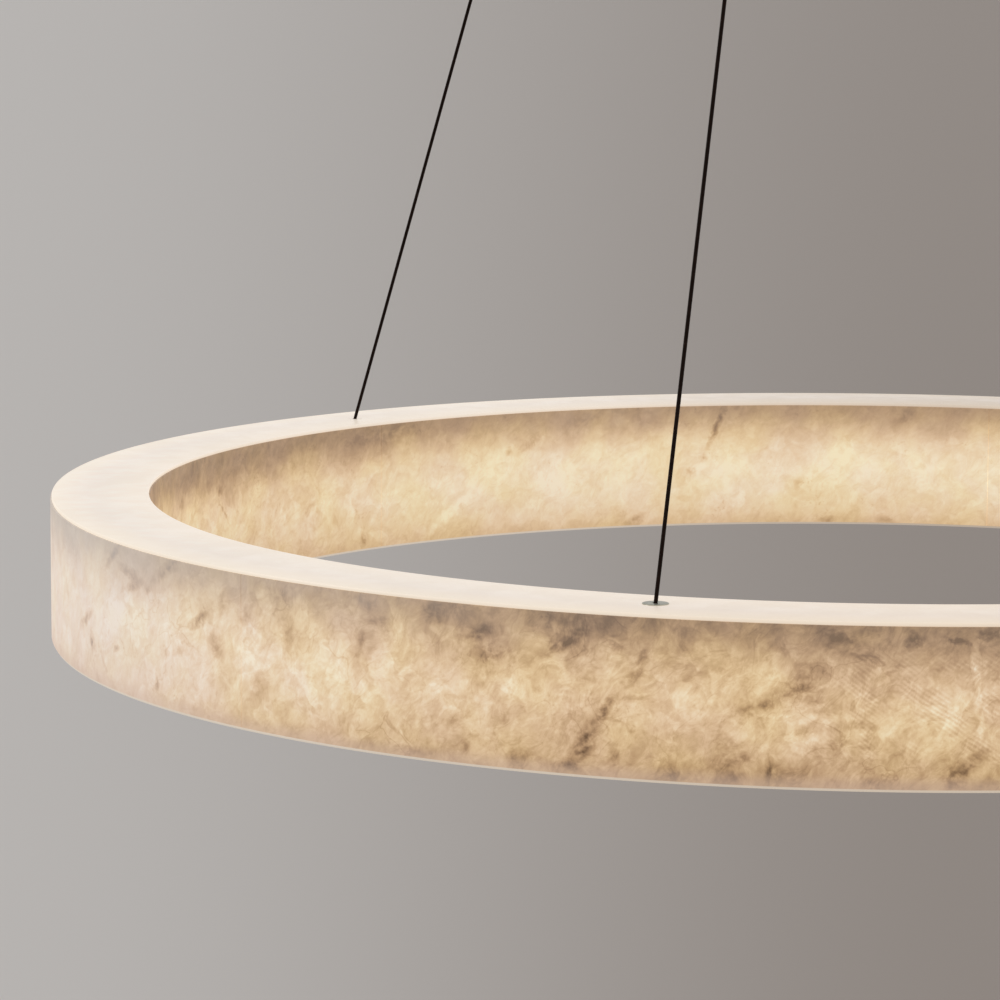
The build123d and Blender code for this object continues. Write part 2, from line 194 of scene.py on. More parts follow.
def cable(side):
    """One taut cable, straight from its pivot in the nozzle to its stop in the ring."""
    pivot, foot, along = cable_line(side)
    end = foot - along * STOP_HALF
    near = 6 * CABLE_D
    route = [pivot, pivot + along * near, end - along * near, end]
    piece = round_curve(f"cord_{side}", [route], 4, 6)
    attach(piece, f"{side}_cable")
    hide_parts(f"cable_{side}")
    return piece


photograph_camera()
cords = {side: cable(side) for side in CABLE_ANGLES}

# Finishes


def tone(red, green, blue):
    """A colour in linear light, from how it looks on a screen, 0 to 255."""
    levels = [level / 255 for level in (red, green, blue)]
    return tuple(s / 12.92 if s <= 0.04045 else ((s + 0.055) / 1.055) ** 2.4 for s in levels)


class Finish:
    """A material, built up from the place on the piece to its colour and its relief."""

    def __init__(self, name, roughness=0.5, metallic=0.0):
        self.material = bpy.data.materials.new(name)
        self.material.use_nodes = True
        self.tree = self.material.node_tree
        self.shader = self.tree.nodes["Principled BSDF"]
        self.set("Roughness", roughness)
        self.set("Metallic", metallic)

    def give(self, socket, value):
        """Links a value to a socket, or sets it there."""
        if isinstance(value, bpy.types.NodeSocket):
            self.tree.links.new(value, socket)
        elif socket.type == "RGBA":
            socket.default_value = (*value, 1)
        else:
            socket.default_value = value

    def set(self, name, value):
        """Gives the shader one of its values."""
        self.give(self.shader.inputs[name], value)

    def step(self, kind, values, result=0, **settings):
        """One node with those settings and values, and its result."""
        made = self.tree.nodes.new("ShaderNode" + kind)
        for name, setting in settings.items():
            setattr(made, name, setting)
        for name, value in values.items():
            self.give(made.inputs[name], value)
        return made.outputs[result]

    def place(self, turn=0.0, centre=(0, 0, 0)):
        """The place on the piece, from a centre and turned about the upright axis."""
        place = self.step("TexCoord", {}, result="Object")
        moved = self.vector("SUBTRACT", place, centre)
        return self.step("Mapping", {"Vector": moved, "Rotation": (0, 0, -radians(turn))})

    def stretch(self, place, scale, lean=0.0):
        """That place with its directions leant by an angle, then scaled."""
        leant = self.step("Mapping", {"Vector": place, "Rotation": (0, 0, -radians(lean))})
        return self.vector("MULTIPLY", leant, scale)

    def parts(self, place):
        """The three numbers of a place."""
        made = self.tree.nodes.new("ShaderNodeSeparateXYZ")
        self.give(made.inputs[0], place)
        return made.outputs[0], made.outputs[1], made.outputs[2]

    def join(self, x, y, z):
        """A place from three numbers."""
        return self.step("CombineXYZ", {"X": x, "Y": y, "Z": z})

    def sum(self, operation, *values):
        """A sum on numbers."""
        return self.step("Math", dict(enumerate(values)), operation=operation)

    def vector(self, operation, *values):
        """A sum on places."""
        return self.step("VectorMath", dict(enumerate(values)), operation=operation)

    def times(self, value, amount):
        """A value multiplied by an amount."""
        return self.sum("MULTIPLY", value, amount)

    def away(self, value, level):
        """How far a value is from a level, either way."""
        return self.sum("ABSOLUTE", self.sum("SUBTRACT", value, level))

    def length(self, place):
        """How far a place is from the centre."""
        return self.step("VectorMath", {0: place}, result="Value", operation="LENGTH")

    def radius(self, x, y):
        """How far a place is from the upright axis."""
        return self.length(self.join(x, y, 0.0))

    def shift(self, place, amount, scale):
        """That place, moved about irregularly by up to an amount."""
        values = {"Vector": place, "Scale": scale, "Detail": 2.0}
        noise = self.step("TexNoise", values, result="Color")
        centred = self.vector("SUBTRACT", noise, (0.5, 0.5, 0.5))
        reach = self.vector("MULTIPLY", centred, (amount, amount, amount))
        return self.vector("ADD", place, reach)

    def noise(self, place, scale, detail=3.0, roughness=0.5, distortion=0.0):
        """Cloudy variation, about a half."""
        values = {"Vector": place, "Scale": scale, "Detail": detail}
        return self.step("TexNoise", values | {"Roughness": roughness, "Distortion": distortion})

    def cells(self, place, scale, feature="F1", result="Distance", smoothness=0.0):
        """Crystals: the distance or colour of the nearest cell."""
        values = {"Vector": place, "Scale": scale}
        if feature == "SMOOTH_F1":
            values["Smoothness"] = smoothness
        return self.step("TexVoronoi", values, result=result, feature=feature)

    def rise(self, value, start, end, low=0.0, high=1.0):
        """A smooth rise from one level to another, as a value goes from start to end."""
        limits = {"From Min": start, "From Max": end, "To Min": low, "To Max": high}
        return self.step("MapRange", {"Value": value} | limits, interpolation_type="SMOOTHSTEP")

    def weigh(self, base, layers):
        """A base level, with layers added that each lie about a half."""
        total = base - sum(amount for _, amount in layers) / 2
        for layer, amount in layers:
            total = self.sum("MULTIPLY_ADD", layer, amount, total)
        return total

    def ramp(self, share, stops):
        """A colour for each share, from a list of shares and colours."""
        made = self.tree.nodes.new("ShaderNodeValToRGB")
        ramp = made.color_ramp
        while len(ramp.elements) < len(stops):
            ramp.elements.new(0.5)
        for element, (position, colour) in zip(ramp.elements, stops):
            element.position = position
            element.color = (*colour, 1)
        self.give(made.inputs[0], share)
        return made.outputs[0]

    def curve(self, value, stops):
        """A level for each value, from a list of values and levels."""
        return self.ramp(value, [(position, (level,) * 3) for position, level in stops])

    def mix(self, share, under, over, how="MIX"):
        """One colour over another by a share."""
        made = self.tree.nodes.new("ShaderNodeMix")
        made.data_type = "RGBA"
        made.blend_type = how
        for index, value in ((0, share), (6, under), (7, over)):    # its share and colours
            self.give(made.inputs[index], value)
        return made.outputs[2]

    def tinted(self, colour, tint):
        """A colour multiplied by a tint."""
        return self.mix(1.0, colour, tint, "MULTIPLY")

    def relief(self, height, distance, strength=1.0):
        """Fine relief on the surface, that deep in metres."""
        values = {"Height": height, "Distance": distance, "Strength": strength}
        self.set("Normal", self.step("Bump", values))

    def lit(self, colour, body, glow):
        """A colour made up of light on the surface and light from behind it, by those shares."""
        self.set("Base Color", self.tinted(colour, (body,) * 3))
        self.set("Emission Color", colour)
        self.set("Emission Strength", glow)

    def cloudy(self, cloud, dark, light):
        """A colour between two, by a cloudy variation."""
        return self.ramp(cloud, [(0.3, dark), (0.7, light)])

    def satin(self, cloud, low, high):
        """Roughness between two levels, by a cloudy variation."""
        self.set("Roughness", self.rise(cloud, 0.3, 0.7, low, high))


# Stone

STONE_TONES = [
    (0.00, tone(112, 86, 58)), (0.15, tone(141, 111, 80)), (0.32, tone(170, 137, 100)),
    (0.45, tone(190, 156, 116)), (0.58, tone(205, 173, 131)), (0.65, tone(215, 183, 142)),
    (0.72, tone(222, 192, 151)), (0.80, tone(230, 203, 164)), (0.88, tone(235, 213, 177)),
    (1.00, tone(243, 229, 198))]
BAND_GREY = tone(152, 133, 117)     # where the backlight doesn't reach, under the top plate
BAND_COOL = tone(176, 171, 164)     # the same on the left, in daylight
FOOT_ROSE = tone(206, 180, 164)     # and above the bottom plate
PALE_TINT = (0.96, 1.0, 1.16)       # cool daylight on the left of the ring
# Painted daylight: a pale veil laid over the left of the ring
DAYLIGHT_VEIL = tone(219, 203, 193)
AMBER_TINT = (1.005, 0.995, 0.93)
ROSE_TINT = (1.0, 0.98, 1.03)
MARK_REACH = 0.8                    # half a mark's size at its fading edge, as a share of it
MARK_DEPTH = 1.75                   # strength at its middle
STONE_BODY = 0.45                   # share of the colour that comes from light on the stone
STONE_GLOW = 0.68                   # and from the light behind it
STRIA_LEAN = -34                    # the fine parallel lines on the right of the front
STRIA_PITCH = 2.2 * MM

# How dark the stone gets towards its top and its foot, by share of the ring's height
TOP_SHADE = [
    (0.50, 0.00), (0.57, 0.04), (0.67, 0.14), (0.76, 0.34), (0.84, 0.62), (0.91, 0.88),
    (0.97, 1.00)]
FOOT_SHADE = [
    (0.03, 1.00), (0.07, 0.77), (0.10, 0.56), (0.14, 0.45), (0.18, 0.31), (0.25, 0.19),
    (0.32, 0.10), (0.42, 0.00)]

# Veins and patches, given one by one: angle round the ring, then height above the ring's foot,
# length and width in mm, lean in degrees, and how much darker it is; below 0 it is lighter
OUTER_MARKS = [
    (267.0, 21, 28, 8, 57, 0.28), (266.9, 15, 10, 6, 70, 0.14), (268.3, 39, 12, 4, 58, 0.28),
    (269.8, 55, 17, 5, 50, 0.18), (270.4, 66, 10, 4, 60, 0.18), (270.3, 44, 11, 3, 0, 0.12),
    (268.7, 31, 10, 2, -4, 0.14), (268.7, 12, 8, 6, 70, 0.18), (272.2, 26, 6, 5, 0, 0.15),
    (272.2, 5, 6, 9, 0, 0.18), (265.9, 6, 14, 6, 10, 0.18), (265.8, 70, 20, 5, 33, 0.20),
    (264.6, 66, 26, 7, 27, 0.14), (266.2, 80, 46, 12, 0, 0.12), (266.1, 59, 8, 7, 0, 0.17),
    (263.8, 44, 5, 3, 0, 0.15), (265.5, 40, 13, 3, 0, 0.08), (269.0, 69, 6, 3, 0, 0.12),
    (272.8, 69, 10, 4, 0, 0.10), (277.0, 42, 24, 8, 25, 0.16), (277.7, 43, 7, 5, 20, 0.18),
    (276.4, 17, 10, 6, 0, 0.10), (275.8, 6, 11, 4, 0, 0.14), (278.0, 11, 5, 12, 0, 0.12),
    (279.4, 55, 27, 11, 40, 0.17), (280.6, 46, 22, 10, -20, 0.15), (279.8, 30, 7, 7, 0, 0.14),
    (282.6, 77, 27, 14, -10, 0.14), (286.3, 77, 8, 4, 40, 0.30), (288.7, 78, 11, 3, -20, 0.24),
    (290.3, 82, 15, 6, -10, 0.22), (285.0, 62, 14, 2, 35, 0.10), (283.4, 34, 12, 4, -5, 0.18),
    (285.2, 20, 16, 9, 35, 0.07), (283.7, 5, 11, 6, 0, 0.16), (288.7, 10, 15, 9, 45, 0.16),
    (290.0, 20, 10, 9, 45, 0.12), (278.8, 9, 30, 11, 12, 0.13), (281.6, 24, 20, 5, 25, 0.10),
    (260.0, 71, 21, 7, 12, 0.20), (261.0, 61, 36, 9, 14, 0.17), (256.9, 80, 12, 11, 0, 0.14),
    (251.7, 81, 13, 8, 0, 0.14), (252.4, 71, 16, 4, 0, 0.14), (251.6, 61, 4, 8, -15, 0.16),
    (251.3, 51, 11, 10, 0, 0.13), (258.1, 24, 10, 7, 20, 0.13), (261.7, 29, 4, 9, 0, 0.12),
    (255.7, 4, 23, 5, 3, 0.14), (252.0, 5, 15, 5, 15, 0.10), (259.0, 11, 6, 7, 0, 0.12),
    (262.5, 7, 13, 8, 0, 0.15), (245.5, 56, 7, 24, 0, 0.13), (242.0, 66, 5, 13, -20, 0.15),
    (244.6, 79, 22, 9, -8, 0.12), (242.9, 27, 16, 15, 0, 0.13), (239.4, 67, 5, 12, -15, 0.14),
    (236.9, 55, 16, 5, 28, 0.28), (238.6, 44, 14, 9, -50, 0.17), (234.6, 35, 10, 4, 20, 0.14),
    (233.3, 79, 26, 6, 27, 0.24), (230.7, 64, 6, 5, 0, 0.20), (231.9, 13, 4, 9, 10, 0.20),
    (228.4, 71, 28, 6, -12, 0.28), (228.6, 64, 14, 5, 15, 0.26), (225.7, 79, 24, 5, 38, 0.30),
    (226.0, 26, 8, 3, 0, 0.22), (220.3, 35, 23, 5, 28, 0.30), (221.6, 23, 7, 10, 30, 0.42),
    (242.2, 41, 22, 26, 0, -0.12), (225.8, 47, 48, 28, 0, -0.05), (262.1, 43, 10, 12, 0, -0.12),
    (273.8, 45, 20, 15, 0, -0.12), (287.5, 40, 34, 20, -20, -0.06), (249.5, 34, 60, 30, 12, -0.05),
    (289.8, 62, 3, 36, 4, -0.14), (290.2, 36, 3, 26, -6, -0.12), (281.0, 83, 12, 6, -8, 0.07),
    (286.0, 79, 7, 5, 60, 0.22), (275.6, 13, 22, 8, 6, 0.16), (283.6, 12, 12, 8, -30, 0.14),
    (289.4, 14, 22, 8, 40, 0.16), (284.4, 48, 26, 10, 38, 0.08), (277.6, 60, 26, 10, 0, -0.08)]
INNER_MARKS = [
    (118.0, 70, 28, 4, 114, 0.26), (120.3, 38, 5, 7, 100, 0.16), (119.2, 48, 5, 4, 0, 0.13),
    (125.8, 5, 15, 6, 150, 0.16), (100.6, 77, 15, 7, 140, 0.12), (110.3, 29, 4, 7, 0, 0.10),
    (136.3, 63, 22, 5, 142, 0.12), (138.4, 58, 6, 5, 0, 0.14), (107.5, 3, 9, 5, 0, 0.14),
    (102.0, 3, 12, 5, 0, 0.12), (175.9, 46, 22, 2, 49, 0.16), (176.7, 61, 8, 5, 0, 0.20),
    (151.9, 79, 60, 14, 0, 0.12), (152.8, 66, 15, 14, 0, 0.08), (155.0, 8, 4, 14, 0, 0.12),
    (162.0, 35, 10, 4, 140, 0.12), (185.5, 61, 9, 6, 0, 0.12), (131.0, 78, 26, 9, 0, 0.08),
    (145.0, 18, 46, 7, 149, -0.10), (139.5, 46, 24, 20, 0, -0.05), (134.0, 42, 30, 30, 130, -0.05),
    (126.5, 54, 26, 20, 0, -0.04), (117.0, 46, 24, 22, 0, -0.05), (106.5, 46, 22, 34, 120, -0.05),
    (98.5, 38, 22, 22, 0, -0.05)]


def marked(paint, place, marks, face_r, middle):
    """All the marks of a list, laid on the wall as soft ovals."""
    total = 0.0
    for angle, height, length, width, lean, depth in marks:
        spot = paint.step("TexGradient", {"Vector": place}, result="Fac", gradient_type="SPHERICAL")
        oval = spot.node.texture_mapping
        oval.vector_type = "TEXTURE"
        oval.translation = (radians(angle - middle) * face_r, height * MM, 0)
        oval.rotation = (0, 0, radians(lean))
        oval.scale = (MARK_REACH * length * MM, MARK_REACH * width * MM, 1)
        total = paint.sum("MULTIPLY_ADD", spot, depth * MARK_DEPTH, total)
    return total


def wisps(paint, place, scale, width):
    """Thin wandering lines, where a cloudy variation crosses its middle level."""
    cloud = paint.noise(place, scale, 3, 0.55, 0.6)
    return paint.rise(paint.away(cloud, 0.5), 0.0, width, 1.0, 0.0)


def mottling(paint, place, grain):
    """Clouds, mottling that leans with the grain, creases, crystals and grit, about nought."""
    leaning = paint.stretch(place, (1.0, 1.6, 1.0), grain)
    flakes = paint.cells(paint.shift(place, 0.014, 70), 105, "SMOOTH_F1", "Color", 0.25)
    cloud = paint.noise(leaning, 40, 3, 0.55, 0.9)
    creases = paint.rise(paint.away(cloud, 0.5), 0.0, 0.05)
    return paint.weigh(-0.03, [
        (paint.noise(place, 10, 3), 0.18), (paint.noise(leaning, 30, 5, 0.68, 0.5), 0.38),
        (paint.noise(leaning, 100, 4, 0.7, 0.6), 0.46), (paint.noise(place, 280, 4, 0.65), 0.26),
        (paint.parts(flakes)[0], 0.15), (creases, 0.06)])


def specks(paint, place):
    """Small dark grains in loose groups."""
    near = paint.rise(paint.cells(paint.shift(place, 0.010, 240), 210), 0.34, 0.12)
    return paint.times(near, paint.rise(paint.noise(place, 42, 3), 0.54, 0.66))


def filaments(paint, place, wall, amount):
    """Fine light and dark veins, where the stone has them."""
    where = paint.rise(paint.noise(wall, 15, 2), 0.46, 0.62)
    light = paint.times(wisps(paint, place, 52, 0.022), amount * 0.4)
    dark = paint.times(wisps(paint, place, 34, 0.020), amount * 1.3)
    return paint.times(paint.sum("SUBTRACT", light, dark), where)


def striae(paint, place, azimuth, height):
    """Fine parallel lines that fall to the right, on the right of the front."""
    across = paint.parts(paint.stretch(place, (1.0, 1.0, 1.0), STRIA_LEAN))[1]
    waves = paint.sum("SINE", paint.times(across, tau / STRIA_PITCH))
    here = paint.times(paint.rise(azimuth, 279, 284), paint.rise(azimuth, 302, 296))
    high = paint.times(paint.rise(height, 0.08, 0.3), paint.rise(height, 0.9, 0.74))
    patchy = paint.rise(paint.noise(place, 48, 2), 0.44, 0.60)
    return paint.times(waves, paint.times(patchy, paint.times(here, high)))


def turning(paint, azimuth, rises):
    """A sum of smooth rises over the angle round the ring."""
    total = 0.0
    for start, end, amount in rises:
        total = paint.sum("ADD", paint.rise(azimuth, start, end, 0.0, amount), total)
    return total


def blended(paint, turn, ends):
    """A level that goes from one value, where the turn is 0, to another where it is 1."""
    return paint.sum("MULTIPLY_ADD", turn, ends[1] - ends[0], ends[0])


def stone(name, wall):
    """Backlit veined stone: darker at its top and foot, where the light behind doesn't reach."""
    paint = Finish(name, roughness=0.42)
    face_r, middle = wall["face_r"], wall["middle"]
    x, y, z = paint.parts(paint.place(turn=middle))
    angle = paint.sum("ARCTAN2", y, x)
    azimuth = paint.sum("MULTIPLY_ADD", angle, 180 / pi, middle)
    height = paint.sum("DIVIDE", paint.sum("SUBTRACT", z, RING_LOW), RING_TOP - RING_LOW)
    outwards = paint.sum("SUBTRACT", paint.radius(x, y), face_r)
    flat = paint.join(paint.times(angle, face_r), paint.sum("SUBTRACT", z, RING_LOW), outwards)
    drifted = paint.shift(flat, 0.012, 38)
    ragged = paint.shift(paint.shift(flat, 0.006, 110), 0.003, 420)
    turn = turning(paint, azimuth, wall["turn"])
    uneven = paint.weigh(0.0, [(paint.noise(flat, 24, 4, 0.6), 0.30)])
    lowered = paint.sum("MULTIPLY_ADD", turn, wall["deepen"], paint.sum("ADD", height, uneven))
    broken = paint.rise(paint.noise(flat, 210, 3), 0.34, 0.60, 0.5, 1.2)
    dark = paint.times(marked(paint, ragged, wall["marks"], face_r, middle), broken)
    top = paint.curve(lowered, TOP_SHADE)
    foot = paint.curve(paint.sum("MULTIPLY_ADD", uneven, 0.5, height), FOOT_SHADE)
    level = blended(paint, turn, wall["level"])
    parts = [
        (mottling(paint, drifted, wall["grain"]), blended(paint, turn, wall["mottle"])),
        (top, paint.times(blended(paint, turn, wall["top"]), -1.0)),
        (foot, paint.times(blended(paint, turn, wall["foot"]), -1.0)),
        (dark, -1.0), (specks(paint, flat), -0.10),
        (filaments(paint, drifted, flat, wall["veins"]), 1.0)]
    if wall["striae"]:
        parts.append((striae(paint, paint.shift(flat, 0.004, 32), azimuth, height), wall["striae"]))
    for part, amount in parts:
        level = paint.sum("MULTIPLY_ADD", part, amount, level)
    colour = paint.ramp(level, STONE_TONES)
    hue = paint.rise(paint.noise(drifted, 24, 3), 0.34, 0.66)
    colour = paint.tinted(colour, paint.mix(hue, AMBER_TINT, ROSE_TINT))
    # Painted daylight: the left of the ring made paler, cooler and veiled, where daylight falls on
    # it
    pale = turning(paint, azimuth, wall["pale"])
    colour = paint.mix(pale, colour, paint.tinted(colour, PALE_TINT))
    colour = paint.mix(paint.rise(pale, 0.5, 1.0, 0.0, 0.42), colour, DAYLIGHT_VEIL)
    edge = paint.times(paint.rise(height, 0.12, 0.02), wall["edge"])
    colour = paint.mix(edge, colour, FOOT_ROSE)
    band = paint.mix(pale, BAND_GREY, BAND_COOL)
    colour = paint.mix(paint.times(top, blended(paint, pale, (0.30, 0.60))), colour, band)
    paint.lit(colour, STONE_BODY, STONE_GLOW)
    paint.satin(paint.noise(flat, 70, 3), 0.34, 0.52)
    paint.relief(paint.noise(flat, 480, 3), 0.04 * MM)
    return paint.material


def joint_resin(name):
    """Filler in the joints, a little lighter than the stone."""
    paint = Finish(name, roughness=0.4)
    height = paint.parts(paint.place())[2]
    top = paint.rise(height, RING_TOP - 26 * MM, RING_TOP - 4 * MM)
    cloud = paint.noise(paint.place(), 90, 4)
    colour = paint.cloudy(cloud, tone(206, 180, 144), tone(240, 224, 194))
    # Painted shade: greyer towards the top, where the backlight doesn't reach, as on the stone
    colour = paint.mix(paint.times(top, 0.35), colour, BAND_GREY)
    paint.lit(colour, STONE_BODY, STONE_GLOW)
    paint.relief(cloud, 0.02 * MM)
    return paint.material


PLATE_TONES = [
    (0.00, tone(243, 229, 212)), (0.14, tone(241, 227, 210)), (0.42, tone(236, 223, 208)),
    (0.60, tone(235, 222, 208)), (0.84, tone(240, 226, 209)), (1.00, tone(243, 229, 210))]
PLATE_WARM = (0.965, 0.925, 0.885)  # away from the daylight
PLATE_BODY = 0.45                   # share of the colour that comes from light on the plate
PLATE_GLOW = 0.60                   # and from the light in the ring
BUSHING_GLOW = 0.58
MODULE_GLOW = 0.9
DAYLIGHT_AT = radians(195)          # direction of the daylight, from the middle of the ring
DIM_AT = radians(78)                # and of the plates' dimmest part


def opal(name, rim):
    """Satin opal plate, lit from within: painted lighter and warmer at its rims, darker and cooler
    in the frame's shade.
    """
    paint = Finish(name, roughness=0.36)
    place = paint.place()
    x, y, _ = paint.parts(place)
    across = paint.sum("SUBTRACT", paint.radius(x, y), INNER_R)
    across = paint.sum("DIVIDE", across, RING_R - INNER_R)
    drift = paint.weigh(0.0, [(paint.noise(place, 7, 2), 0.16)])
    colour = paint.ramp(paint.sum("ADD", across, drift), PLATE_TONES)
    angle = paint.sum("ARCTAN2", y, x)
    lamps = paint.sum("SINE", paint.times(angle, 18.0))
    dim = paint.sum("COSINE", paint.sum("SUBTRACT", angle, DIM_AT))
    soft = paint.weigh(1.0, [(paint.noise(place, 30, 3), 0.04), (lamps, 0.008)])
    soft = paint.sum("SUBTRACT", soft, paint.rise(dim, 0.50, 1.0, 0.0, 0.20))
    # Painted light and shade on the edge faces: lighter on the top plate (rim 1.08), darker on the
    # bottom one (rim 0.80)
    at_rim = (RING_R - INNER_R - 2 * PLATE_INSET) / (RING_R - INNER_R) / 2
    to_rim = paint.rise(paint.away(across, 0.5), at_rim - 0.012, at_rim, 1.0, rim)
    soft = paint.times(soft, to_rim)
    colour = paint.tinted(colour, paint.join(soft, soft, soft))
    daylight = paint.sum("COSINE", paint.sum("SUBTRACT", angle, DAYLIGHT_AT))
    warm = paint.rise(daylight, 0.75, -0.35)
    colour = paint.mix(warm, colour, paint.tinted(colour, PLATE_WARM))
    paint.lit(colour, PLATE_BODY, PLATE_GLOW)
    paint.satin(paint.noise(place, 60, 3), 0.30, 0.42)
    paint.relief(paint.noise(place, 700, 2), 0.008 * MM)
    return paint.material


STRANDS = 6                         # of each set in the cable's braid
BRAID_LAY = 4.8 * MM                # length in which a strand winds once round the cable


def cable_sleeve(name, start, along):
    """Black braided sleeve: two sets of strands that wind round the cable and cross."""
    paint = Finish(name, roughness=0.55)
    place = paint.step("TexCoord", {}, result="Object")
    turn = along.to_track_quat("Z", "Y").to_euler()
    values = {"Vector": place, "Location": tuple(start), "Rotation": tuple(turn)}
    x, y, z = paint.parts(paint.step("Mapping", values, vector_type="TEXTURE"))
    angle = paint.sum("ARCTAN2", y, x)
    climb = paint.times(z, STRANDS * tau / BRAID_LAY)
    strands = []
    for way in (-1, 1):
        wound = paint.sum("MULTIPLY_ADD", angle, way * STRANDS, climb)
        strands.append(paint.sum("SINE", wound))
    braid = paint.sum("MAXIMUM", *strands)
    share = paint.rise(braid, -0.6, 1.0)
    dust = paint.noise(place, 260, 3)
    # Painted shade: the grooves between the strands darker than their crowns
    colour = paint.ramp(share, [(0.0, tone(8, 3, 1)), (1.0, tone(20, 10, 6))])
    colour = paint.mix(paint.rise(dust, 0.45, 0.75, 0, 0.4), colour, tone(40, 25, 18))
    paint.set("Base Color", colour)
    paint.set("Specular IOR Level", 0.12)
    paint.set("Specular Tint", (0.8, 0.55, 0.45))
    paint.set("Roughness", paint.rise(share, 0.0, 1.0, 0.72, 0.45))
    paint.relief(share, 0.12 * MM)
    return paint.material


def turned_metal(
        name, centre=(0, 0, 0), dull=tone(140, 138, 132), bright=tone(172, 169, 162)):
    """Grey plated metal with fine lathe rings about an upright axis."""
    paint = Finish(name, roughness=0.34, metallic=1.0)
    place = paint.place(centre=centre)
    x, y, z = paint.parts(place)
    rings = paint.noise(paint.join(paint.radius(x, y), z, 0.0), 5200, 2)
    paint.set("Base Color", paint.cloudy(paint.noise(place, 300, 4, 0.6), dull, bright))
    paint.satin(rings, 0.30, 0.48)
    paint.relief(rings, 0.012 * MM)
    return paint.material


def powder_coat():
    """Matt off-white powder coat with its fine orange peel."""
    paint = Finish("powder_coat", roughness=0.5)
    place = paint.place()
    cloud = paint.noise(place, 14, 3)
    paint.set("Base Color", paint.cloudy(cloud, tone(226, 223, 217), tone(234, 231, 225)))
    peel = paint.cells(place, 1100, "SMOOTH_F1", smoothness=0.6)
    paint.satin(paint.noise(place, 500, 2), 0.44, 0.58)
    paint.relief(peel, 0.02 * MM, 0.6)
    return paint.material


def zinc_plate():
    """Bright zinc plate: pale spangle, drawn lines and a faint yellow cast."""
    paint = Finish("zinc_plate", roughness=0.36, metallic=1.0)
    place = paint.place()
    spangle = paint.parts(paint.cells(paint.shift(place, 0.004, 130), 150, result="Color"))[0]
    lines = paint.noise(paint.stretch(place, (12, 900, 300)), 1.0, 3)
    mixed = paint.weigh(0.5, [(spangle, 0.35), (lines, 0.5), (paint.noise(place, 24, 3), 0.6)])
    paint.set("Base Color", paint.ramp(mixed, [
        (0.2, tone(158, 158, 152)), (0.55, tone(186, 187, 184)), (0.85, tone(204, 203, 192))]))
    paint.set("Roughness", paint.rise(mixed, 0.2, 0.8, 0.46, 0.26))
    paint.relief(lines, 0.010 * MM)
    return paint.material


def plated_steel():
    """Plated fasteners: fine tool marks and a patchy stain."""
    paint = Finish("plated_steel", roughness=0.32, metallic=1.0)
    place = paint.place()
    marks = paint.noise(paint.stretch(place, (700, 700, 2600)), 1.0, 3)
    stain = paint.noise(place, 240, 3)
    paint.set("Base Color", paint.cloudy(stain, tone(150, 149, 144), tone(196, 195, 190)))
    paint.satin(marks, 0.24, 0.44)
    paint.relief(marks, 0.01 * MM)
    return paint.material


def mill_aluminium():
    """Rolled aluminium with lines along the bar, round the ring."""
    paint = Finish("mill_aluminium", roughness=0.38, metallic=1.0)
    place = paint.place()
    x, y, z = paint.parts(place)
    out, up = paint.times(paint.radius(x, y), 2400.0), paint.times(z, 2400.0)
    along = paint.times(paint.sum("ARCTAN2", y, x), 6.0)
    lines = paint.noise(paint.join(out, up, along), 1.0, 3)
    paint.set("Base Color", paint.cloudy(lines, tone(188, 189, 191), tone(222, 222, 222)))
    paint.satin(lines, 0.30, 0.46)
    paint.relief(lines, 0.008 * MM)
    return paint.material


def moulded(name, colour, shade, grain, roughness):
    """Moulded plastic with a fine spark-eroded texture."""
    paint = Finish(name, roughness=roughness)
    place = paint.place()
    paint.set("Base Color", paint.cloudy(paint.noise(place, 40, 3), shade, colour))
    spots = paint.noise(place, grain, 3, 0.6)
    paint.satin(spots, roughness - 0.06, roughness + 0.08)
    paint.relief(spots, 0.03 * MM, 0.7)
    return paint.material


def lit_plastic():
    """White plastic of the bushings, lit through like the plate round it."""
    paint = Finish("lit_plastic", roughness=0.4)
    place = paint.place()
    cloud = paint.noise(place, 320, 3)
    colour = paint.cloudy(cloud, tone(229, 216, 201), tone(236, 223, 208))
    paint.lit(colour, PLATE_BODY, BUSHING_GLOW)
    paint.relief(cloud, 0.02 * MM)
    return paint.material


def lit_module():
    """Light modules under a frosted lens, cloudy between warm and pale."""
    paint = Finish("lit_module", roughness=0.3)
    place = paint.place()
    cloud = paint.noise(place, 160, 3)
    colour = paint.cloudy(cloud, tone(255, 224, 170), tone(255, 244, 214))
    paint.lit(colour, 1.0, MODULE_GLOW)
    paint.relief(paint.cells(place, 420), 0.06 * MM)
    return paint.material


# Each wall: a turn that goes from 0 to 1 round the ring, and the levels at its two ends
OUTER_WALL = {
    "face_r": RING_R, "middle": OUTER_SEAM + 4 * PANEL_PITCH, "grain": 47,
    "turn": [(222, 276, 1.0), (310, 400, -0.5), (200, 130, 0.5)], "deepen": 0.0,
    "level": (0.905, 0.745), "top": (0.27, 0.47), "foot": (0.16, 0.30), "mottle": (0.7, 1.2),
    "pale": [(275, 212, 1.0), (170, 120, -1.0)], "veins": 0.10, "striae": 0.055,
    "edge": 0.40, "marks": OUTER_MARKS}
INNER_WALL = {
    "face_r": INNER_R, "middle": INNER_SEAM + 3 * PANEL_PITCH, "grain": 132,
    "turn": [(140, 172, 1.0), (230, 320, -1.0)], "deepen": 0.07,
    "level": (0.93, 0.855), "top": (0.54, 0.55), "foot": (0.22, 0.20), "mottle": (0.55, 0.75),
    "pale": [(400, 401, 1.0)], "veins": 0.02, "striae": 0.0,
    "edge": 0.0, "marks": INNER_MARKS}
